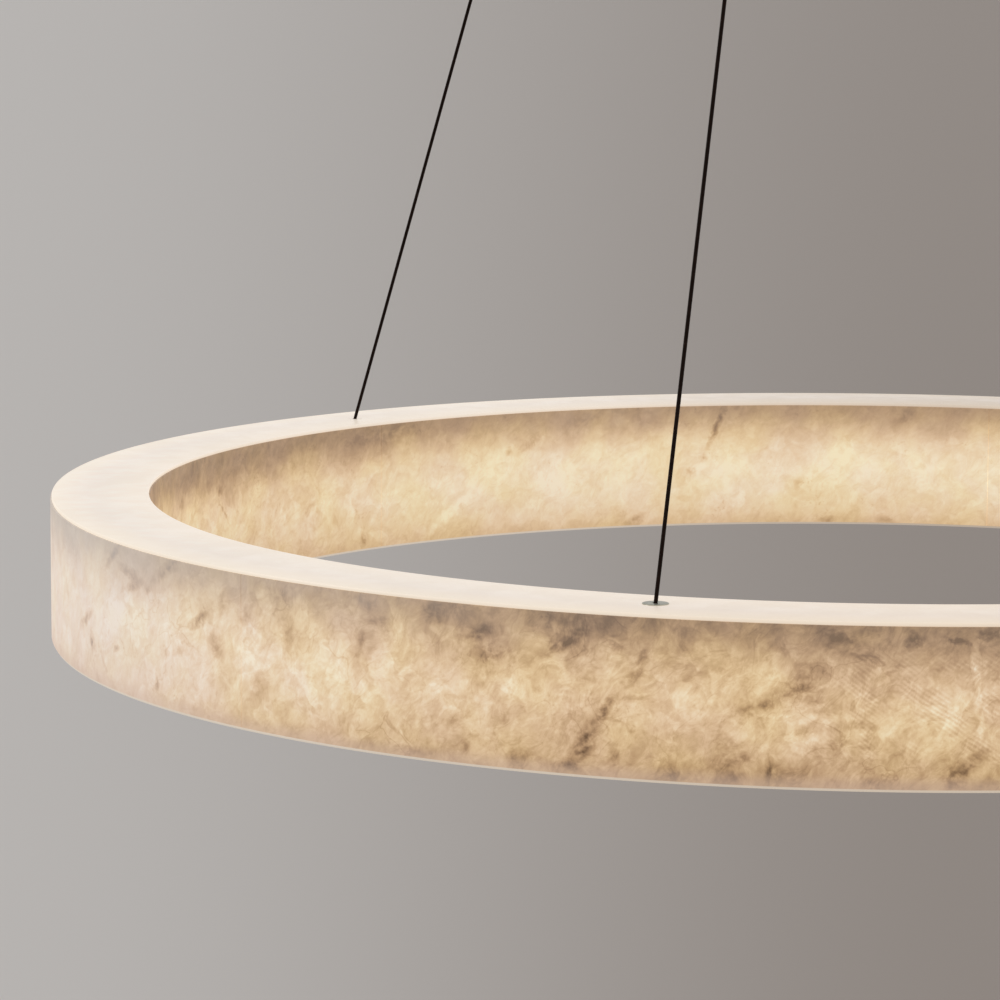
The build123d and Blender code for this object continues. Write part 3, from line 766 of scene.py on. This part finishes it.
FINISHES = {
    "outer_stone": stone("outer_stone", OUTER_WALL),
    "inner_stone": stone("inner_stone", INNER_WALL),
    "opal_plate": opal("opal_plate", rim=1.08),
    "white_plastic": moulded(
        "white_plastic", tone(238, 233, 224), tone(228, 222, 212), 900, 0.38),
    "black_cable": cable_sleeve("black_tail", Vector(), Vector((0, 0, 1))),
    "grey_metal": turned_metal("grey_metal"),
    "canopy_paint": powder_coat(),
    "zinc_steel": zinc_plate(),
    "fasteners": plated_steel(),
    "frame_aluminium": mill_aluminium(),
    "light_modules": lit_module(),
    "driver_plastic": moulded(
        "driver_plastic", tone(222, 221, 216), tone(210, 209, 204), 1300, 0.52),
    "terminal_plastic": moulded(
        "terminal_plastic", tone(236, 235, 230), tone(224, 222, 216), 600, 0.34),
    "lead": moulded("lead_sleeve", tone(178, 42, 34), tone(160, 34, 30), 1500, 0.42),
    "magnets": turned_metal("nickel_plate")}

# Modelling


def edit_all():
    """Goes to edit mode, with everything selected."""
    bpy.ops.object.mode_set(mode="EDIT")
    bpy.ops.mesh.select_all(action="SELECT")


def outline(name, points):
    """A closed outline through those points, ready to be spun."""
    deselect()
    bpy.ops.mesh.primitive_circle_add(vertices=len(points), fill_type="NOTHING")
    piece = bpy.context.object
    piece.name = name
    for vertex, place in zip(piece.data.vertices, points):
        vertex.co = place
    return piece


def eased(corners, width):
    """The outline with each corner taken off by two small flats."""
    points = []
    for index, corner in enumerate(corners):
        before, here = Vector(corners[index - 1]), Vector(corner)
        after = Vector(corners[(index + 1) % len(corners)])
        first = here + (before - here).normalized() * width
        last = here + (after - here).normalized() * width
        points += [first, here * 0.3 + (first + last) * 0.35, last]
    return [tuple(point) for point in points]


def arc(centre, radius, start, end, count):
    """Points on an arc of a section, from one angle to another."""
    turns = [radians(start + (end - start) * k / (count - 1)) for k in range(count)]
    return [(centre[0] + radius * cos(turn), centre[1] + radius * sin(turn)) for turn in turns]


def spun(name, section, steps, start=0.0, sweep=360.0, centre=(0, 0)):
    """A piece of that section of radii and heights, spun about an upright axis."""
    axis = Vector((*centre, 0))
    piece = outline(name, [axis + around(radius, start, height) for radius, height in section])
    edit_all()
    bpy.ops.mesh.spin(steps=steps, angle=radians(sweep), center=axis, axis=(0, 0, 1))
    bpy.ops.mesh.select_all(action="SELECT")
    bpy.ops.mesh.remove_doubles(threshold=2e-6)
    bpy.ops.mesh.delete_loose()
    if sweep < 360:
        bpy.ops.mesh.select_all(action="SELECT")
        bpy.ops.mesh.fill_holes(sides=0)
    bpy.ops.mesh.select_all(action="SELECT")
    bpy.ops.mesh.normals_make_consistent(inside=False)
    bpy.ops.object.mode_set(mode="OBJECT")
    return piece


def pick(piece):
    """Selects that piece alone."""
    deselect()
    piece.select_set(True)
    bpy.context.view_layer.objects.active = piece


def modified(piece, kind, **settings):
    """Applies one modifier to the piece."""
    pick(piece)
    modifier = piece.modifiers.new(kind.lower(), kind)
    for name, setting in settings.items():
        setattr(modifier, name, setting)
    bpy.ops.object.modifier_apply(modifier=modifier.name)


def cut(piece, cutter):
    """Cuts one solid out of the piece, and takes the cutter away."""
    modified(piece, "BOOLEAN", object=cutter, operation="DIFFERENCE", solver="EXACT")
    bpy.data.objects.remove(cutter)
    return piece


def round_cutter(radius, start, end):
    """A cylinder between two points, to cut with."""
    deselect()
    along = end - start
    bpy.ops.mesh.primitive_cylinder_add(
        vertices=64, radius=radius, depth=along.length, location=(start + end) / 2,
        rotation=along.to_track_quat("Z", "Y").to_euler())
    return bpy.context.object


def drilled(piece, out, low, high, radius):
    """Drills an upright hole through the piece at each cable."""
    for angle in CABLE_ANGLES.values():
        cut(piece, round_cutter(radius, around(out, angle, low), around(out, angle, high)))


def joined(name, pieces):
    """Several pieces as one mesh."""
    pick(pieces[0])
    for piece in pieces[1:]:
        piece.select_set(True)
    bpy.ops.object.join()
    pieces[0].name = name
    return pieces[0]


def dressed(piece, node, finish=None, angle=35):
    """The finished piece: smooth, with its finish, on the node's body and in its place."""
    pick(piece)
    bpy.ops.object.shade_smooth_by_angle(angle=radians(angle))
    piece.data.materials.clear()
    piece.data.materials.append(finish or FINISHES[slot_of[node]])
    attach(piece, body_of[node])
    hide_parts(node)


# Ring pieces


def box_section(low_r, high_r, low_z, high_z):
    """The corners of an upright section."""
    return [(low_r, low_z), (high_r, low_z), (high_r, high_z), (low_r, high_z)]


def stone_panels(side, face_r, back_r, seam):
    """The six panels of a wall, with a slight arris along each edge that runs round the ring."""
    gap = degrees(JOINT / face_r)
    low, high = sorted((face_r, back_r))
    section = eased(box_section(low, high, STONE_LOW, STONE_TOP), ARRIS)
    for index in range(PANELS):
        start = seam + index * PANEL_PITCH + gap / 2
        panel = spun(f"{side}_panel_{index + 1}", section, 40, start, PANEL_PITCH - gap)
        dressed(panel, f"{side}_stone_{index + 1}")


def joint_fill(side, face_r, back_r, seam):
    """Resin in the six joints of a wall, a hair below the stone's face."""
    gap = degrees(JOINT / face_r)
    sunk = FILL_SUNK if face_r > back_r else -FILL_SUNK
    low, high = sorted((back_r + sunk, face_r - sunk))
    section = eased(box_section(low, high, STONE_LOW + ARRIS, STONE_TOP - ARRIS), 0.05 * MM)
    fills = []
    for index in range(PANELS):
        start = seam + index * PANEL_PITCH - gap / 2
        fills.append(spun(f"fill_{index}", section, 2, start, gap))
    piece = joined(f"{side}_joint_fill", fills)
    piece.data.materials.append(joint_resin(f"{side}_joint_resin"))
    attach(piece, "light_ring")


def opal_plate(name, node, finish=None):
    """A flat opal ring with rounded edges, and a hole at each cable if it is the top one."""
    low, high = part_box(node)
    section = eased(
        box_section(INNER_R + PLATE_INSET, RING_R - PLATE_INSET, low.z, high.z), 0.35 * MM)
    plate = spun(name, section, steps=288)
    if node == "top_cover":
        drilled(plate, PIERCE_R, low.z - MM, high.z + MM, HOLE_R)
    dressed(plate, node, finish)


def cable_bore(side):
    """Cutter for the slanting bore that a cable passes through at the top plate."""
    _, foot, along = cable_line(side)
    return round_cutter(BORE_R, foot, foot - along * 40 * MM)


def gland():
    """Thin turned disc with a bevelled rim, and its neck through the plate."""
    centre = around(PIERCE_R, CABLE_ANGLES["front"], 0)
    rim = 0.15 * MM
    top = RING_TOP + GLAND_T
    section = [
        (0, top), (GLAND_R - 2 * rim, top), (GLAND_R, top - rim), (GLAND_R, RING_TOP + 0.02 * MM),
        (GLAND_R - rim, RING_TOP), (NECK_R, RING_TOP), (NECK_R, RING_TOP - GLAND_DEPTH + rim),
        (NECK_R - rim, RING_TOP - GLAND_DEPTH), (0, RING_TOP - GLAND_DEPTH)]
    piece = cut(spun("gland", section, steps=96, centre=centre.xy), cable_bore("front"))
    metal = turned_metal("gland_metal", centre, tone(168, 165, 150), tone(200, 197, 182))
    dressed(piece, "feed_gland", metal)


def bushings():
    """Two flush bushings for the plain cables."""
    low = RING_TOP - BUSHING_DEPTH
    ease = 0.08 * MM
    section = [
        (0, RING_TOP), (BUSHING_R - ease, RING_TOP), (BUSHING_R, RING_TOP - ease),
        (BUSHING_R, low), (0, low)]
    pieces = []
    for side in ("right", "left"):
        centre = around(PIERCE_R, CABLE_ANGLES[side], 0)
        piece = spun(f"bush_{side}", section, steps=72, centre=centre.xy)
        pieces.append(cut(piece, cable_bore(side)))
    dressed(joined("bushings", pieces), "cable_bushings", lit_plastic())


# Canopy pieces


def canopy_shell():
    """Spun cup with a rolled lower edge, and a hole at each cable."""
    inner = CANOPY_EDGE - CANOPY_WALL
    bend = (CANOPY_R - CANOPY_EDGE, -CANOPY_H + CANOPY_EDGE)
    lip = 0.4 * MM
    section = [(0, -CANOPY_H)] + arc(bend, CANOPY_EDGE, -90, 0, 9)
    section += [
        (CANOPY_R, -lip), (CANOPY_R - lip, 0), (CANOPY_R - CANOPY_WALL + lip, 0),
        (CANOPY_R - CANOPY_WALL, -lip)]
    section += arc(bend, inner, 0, -90, 7) + [(0, -CANOPY_H + CANOPY_WALL)]
    shell = spun("canopy_shell", section, steps=192)
    drilled(shell, EXIT_R, -CANOPY_H - MM, -CANOPY_H + 4 * MM, CANOPY_HOLE_R)
    dressed(shell, "canopy_cover", angle=30)


def knurled(piece, centre):
    """Runs ridges down the outside of a turned piece."""
    for vertex in piece.data.vertices:
        away = vertex.co.xy - centre.xy
        if away.length > COLLAR_R - 0.6 * MM:
            wave = 0.5 + 0.5 * cos(KNURL_RIDGES * atan2(away.y, away.x))
            vertex.co.xy = centre.xy + away * (1 - KNURL_DEPTH * wave / COLLAR_R)


def collars():
    """Knurled rings that hold the canopy up."""
    corners = box_section(GRIP_R + COLLAR_PLAY, COLLAR_R, COLLAR_LOW, -CANOPY_H)
    section = eased(corners, 0.5 * MM)
    pieces = []
    for side, angle in CABLE_ANGLES.items():
        centre = around(EXIT_R, angle, 0)
        collar = spun(f"collar_{side}", section, steps=216, centre=centre.xy)
        knurled(collar, centre)
        pieces.append(collar)
    dressed(joined("collars", pieces), "canopy_collars", angle=50)


def thread(radius, low, high):
    """The outline of a thread's flank, from its low end up."""
    points = []
    for turn in range(int((high - low) / THREAD_PITCH)):
        foot = low + turn * THREAD_PITCH
        points.append((radius - THREAD_DEPTH, foot))
        points += [(radius, foot + THREAD_PITCH * share) for share in THREAD_CREST]
    return points + [(radius - THREAD_DEPTH, high)]


def gripper_tubes():
    """Threaded tubes with a bore, a lip that keeps the nozzle in, and a side port."""
    section = [(LIP_R, GRIP_FOOT)] + thread(GRIP_R, GRIP_FOOT, TUBE_TOP)
    section += [
        (0, TUBE_TOP), (0, ROOM_TOP), (ROOM_R, ROOM_TOP), (ROOM_R, LIP_TOP), (LIP_R, LIP_TOP)]
    pieces = []
    for side, angle in CABLE_ANGLES.items():
        tube = spun(f"tube_{side}", section, steps=36, centre=around(EXIT_R, angle, 0).xy)
        middle = around(EXIT_R, angle, PORT_Z)
        inwards = around(EXIT_R - 8 * MM, angle, PORT_Z)
        pieces.append(cut(tube, round_cutter(PORT_R, middle, inwards)))
    dressed(joined("gripper_tubes", pieces), "gripper_bodies")


def flared(start, end, power, shares):
    """Points of a section that widens more and more, from one radius and height to another."""
    points = []
    for share in shares:
        radius = start[0] + (end[0] - start[0]) * share ** power
        points.append((radius, start[1] + (end[1] - start[1]) * share))
    return points


def nozzle(side):
    """Sprung nozzle, turned from bar, with a bell mouth that lets the cable lean out."""
    centre = around(EXIT_R, CABLE_ANGLES[side], 0)
    mouth = BELL_LOW + BELL_LIP
    section = [(radius * MM, height * MM) for radius, height in STEM]
    section += flared((BELL_NECK, BELL_TOP), (BELL_R, mouth), 1.5, (0.15, 0.35, 0.6, 0.85, 1.0))
    section += arc((BELL_R - BELL_LIP, mouth), BELL_LIP, -20, -150, 5)
    throat = flared((THROAT_R, PIVOT[1]), (MOUTH_R, BELL_LOW), 1.6, (0, 0.12, 0.3, 0.55, 0.8, 1))
    section += reversed(throat)
    piece = spun(f"turned_nozzle_{side}", section, steps=96, centre=centre.xy)
    dressed(piece, f"nozzle_{side}", turned_metal(f"nozzle_metal_{side}", centre))


def springs():
    """A coil spring of round wire over each set of jaws."""
    pieces = []
    for angle in CABLE_ANGLES.values():
        deselect()
        bpy.ops.mesh.primitive_circle_add(
            vertices=10, radius=SPRING_WIRE, fill_type="NOTHING", rotation=(pi / 2, 0, 0))
        piece = bpy.context.object
        piece.data.transform(Matrix.Translation((SPRING_R, 0, 0)) @ piece.matrix_world)
        piece.matrix_world = Matrix.Identity(4)
        modified(
            piece, "SCREW", steps=28, render_steps=28, screw_offset=SPRING_PITCH,
            iterations=SPRING_TURNS, use_merge_vertices=True)
        piece.data.transform(Matrix.Translation(around(EXIT_R, angle, SPRING_FOOT)))
        edit_all()
        bpy.ops.mesh.fill_holes(sides=0)
        bpy.ops.mesh.normals_make_consistent(inside=False)
        bpy.ops.object.mode_set(mode="OBJECT")
        pieces.append(piece)
    dressed(joined("jaw_springs", pieces), "gripper_springs", angle=60)


def tails():
    """The cables' ends inside the canopy: one bends over to the driver, two end in the port."""
    routes = []
    for side, angle in CABLE_ANGLES.items():
        foot, top = around(EXIT_R, angle, TAIL_LOW), around(EXIT_R, angle, TAIL_TOP)
        route = [foot, foot.lerp(top, 0.3), foot.lerp(top, 0.7), top]
        if side == "front":
            corner = around(EXIT_R, angle, TAIL_Z)
            inwards, down = Vector((0, TAIL_BEND, 0)), Vector((0, 0, -TAIL_BEND))
            end = Vector((foot.x, DRIVER_FRONT, TAIL_Z))
            route = [foot, corner + down * 1.6, corner + down * 0.6, corner + inwards * 0.6]
            route += [corner + inwards * 1.6, end]
        routes.append(route)
    pick(round_curve("cable_ends", routes, 8, 4))
    bpy.ops.object.convert(target="MESH")
    dressed(bpy.context.object, "cable_tails")


# Pieces that keep the form of their node, and get edges eased by that many mm

EASED = {
    "ceiling_bracket": 0.4, "gripper_nuts": 0.5, "driver_case": 0.8, "driver_lid": 0.5,
    "driver_screws": 0.3, "terminal_block": 0.3, "terminal_screws": 0.15, "earth_screw": 0.3,
    "hangers": 0.3, "hanger_screws": 0.3, "gland_nut": 0.25, "outer_clips": 0.2,
    "inner_clips": 0.2, "clip_screws": 0.25, "ring_connector": 0.5, "diffuser_brackets": 0.3,
    "diffuser_magnets": 0.2, "led_modules_outer": 0.4, "led_modules_inner": 0.4,
    "gripper_jaws": 0.1}


def eased_piece(node, width):
    """The node's own form as a merged mesh, with its edges eased."""
    piece = added(f"{node}_eased", nodes[node].data.copy())
    pick(piece)
    edit_all()
    bpy.ops.mesh.remove_doubles(threshold=1e-6)
    bpy.ops.mesh.dissolve_limited(angle_limit=radians(1))
    bpy.ops.object.mode_set(mode="OBJECT")
    modified(
        piece, "BEVEL", width=width * MM, segments=2, limit_method="ANGLE",
        angle_limit=radians(40), use_clamp_overlap=True)
    dressed(piece, node)


stone_panels("outer", RING_R, RING_R - STONE_T, OUTER_SEAM)
stone_panels("inner", INNER_R, INNER_R + STONE_T, INNER_SEAM)
joint_fill("outer", RING_R, RING_R - STONE_T, OUTER_SEAM)
joint_fill("inner", INNER_R, INNER_R + STONE_T, INNER_SEAM)
opal_plate("top_plate", "top_cover")
opal_plate("bottom_plate", "bottom_diffuser", opal("low_opal_plate", rim=0.80))
gland()
bushings()
canopy_shell()
collars()
gripper_tubes()
springs()
tails()
for side in CABLE_ANGLES:
    nozzle(side)
    pivot, _, along = cable_line(side)
    cords[side].data.materials.append(cable_sleeve(f"sleeve_{side}", pivot, along))
for node, width in EASED.items():
    eased_piece(node, width)
for node in ("frame_ring", "ring_lead", *(f"cable_stop_{side}" for side in CABLE_ANGLES)):
    nodes[node].material_slots[0].material = FINISHES[slot_of[node]]

# Stage and light

FLOOR_Z = -5.0
FLOOR_SIZE = 560
FLOOR_LIGHT = (0.70, 0.66, 0.62)
FLOOR_DARK = (0.375, 0.32, 0.28)
FLOOR_PLAIN = (0.55, 0.52, 0.49)
SHADE_ANGLES = (-7.0, 7.5)      # the shade's two ends, from the line straight ahead
SHADE_FROM, SHADE_FULL = 6.0, 16.0      # distances from the camera over which it sets in
SKY = (0.92, 0.93, 0.95)
SKY_STRENGTH = 0.72


def floor():
    """Wide pale floor, with a painted shade that in the distance gets darker from left to right of
    the view.
    """
    deselect()
    bpy.ops.mesh.primitive_plane_add(size=FLOOR_SIZE, location=(0, 0, FLOOR_Z))
    plane = bpy.context.object
    plane.name = "floor"
    paint = Finish("floor", roughness=0.9)
    foot = around(CAMERA_AT[0], CAMERA_AT[1], 0)
    place = paint.place(turn=90 + CAMERA_HEADING, centre=tuple(foot))
    x, y, _ = paint.parts(place)
    angle = paint.sum("ARCTAN2", y, x)
    share = paint.rise(angle, *(radians(end) for end in SHADE_ANGLES))
    colour = paint.mix(share, FLOOR_DARK, FLOOR_LIGHT)
    far = paint.rise(paint.length(place), SHADE_FROM, SHADE_FULL)
    paint.set("Base Color", paint.mix(far, FLOOR_PLAIN, colour))
    plane.data.materials.append(paint.material)


def soft_light(name, place, aim, size, power, colour):
    """A large soft studio lamp that faces a point."""
    lamp = added(name, bpy.data.lights.new(name, "AREA"))
    lamp.data.shape = "DISK"
    lamp.data.size = size
    lamp.data.energy = power
    lamp.data.color = colour
    lamp.location = place
    lamp.rotation_euler = (Vector(aim) - Vector(place)).to_track_quat("-Z", "Y").to_euler()


world = bpy.data.worlds.new("studio")
bpy.context.scene.world = world
world.use_nodes = True
sky = world.node_tree.nodes["Background"].inputs
sky["Color"].default_value = (*SKY, 1)
sky["Strength"].default_value = SKY_STRENGTH
floor()
soft_light(
    "left_window", place=(-3.4, -2.0, 0.4), aim=(0, 0, -0.9), size=2.4, power=32,
    colour=(0.93, 0.96, 1.0))
soft_light(
    "right_fill", place=(3.0, -1.5, 0.2), aim=(0, 0, -0.7), size=2.0, power=14,
    colour=(1.0, 0.97, 0.93))

bpy.context.scene.view_settings.view_transform = "Standard"
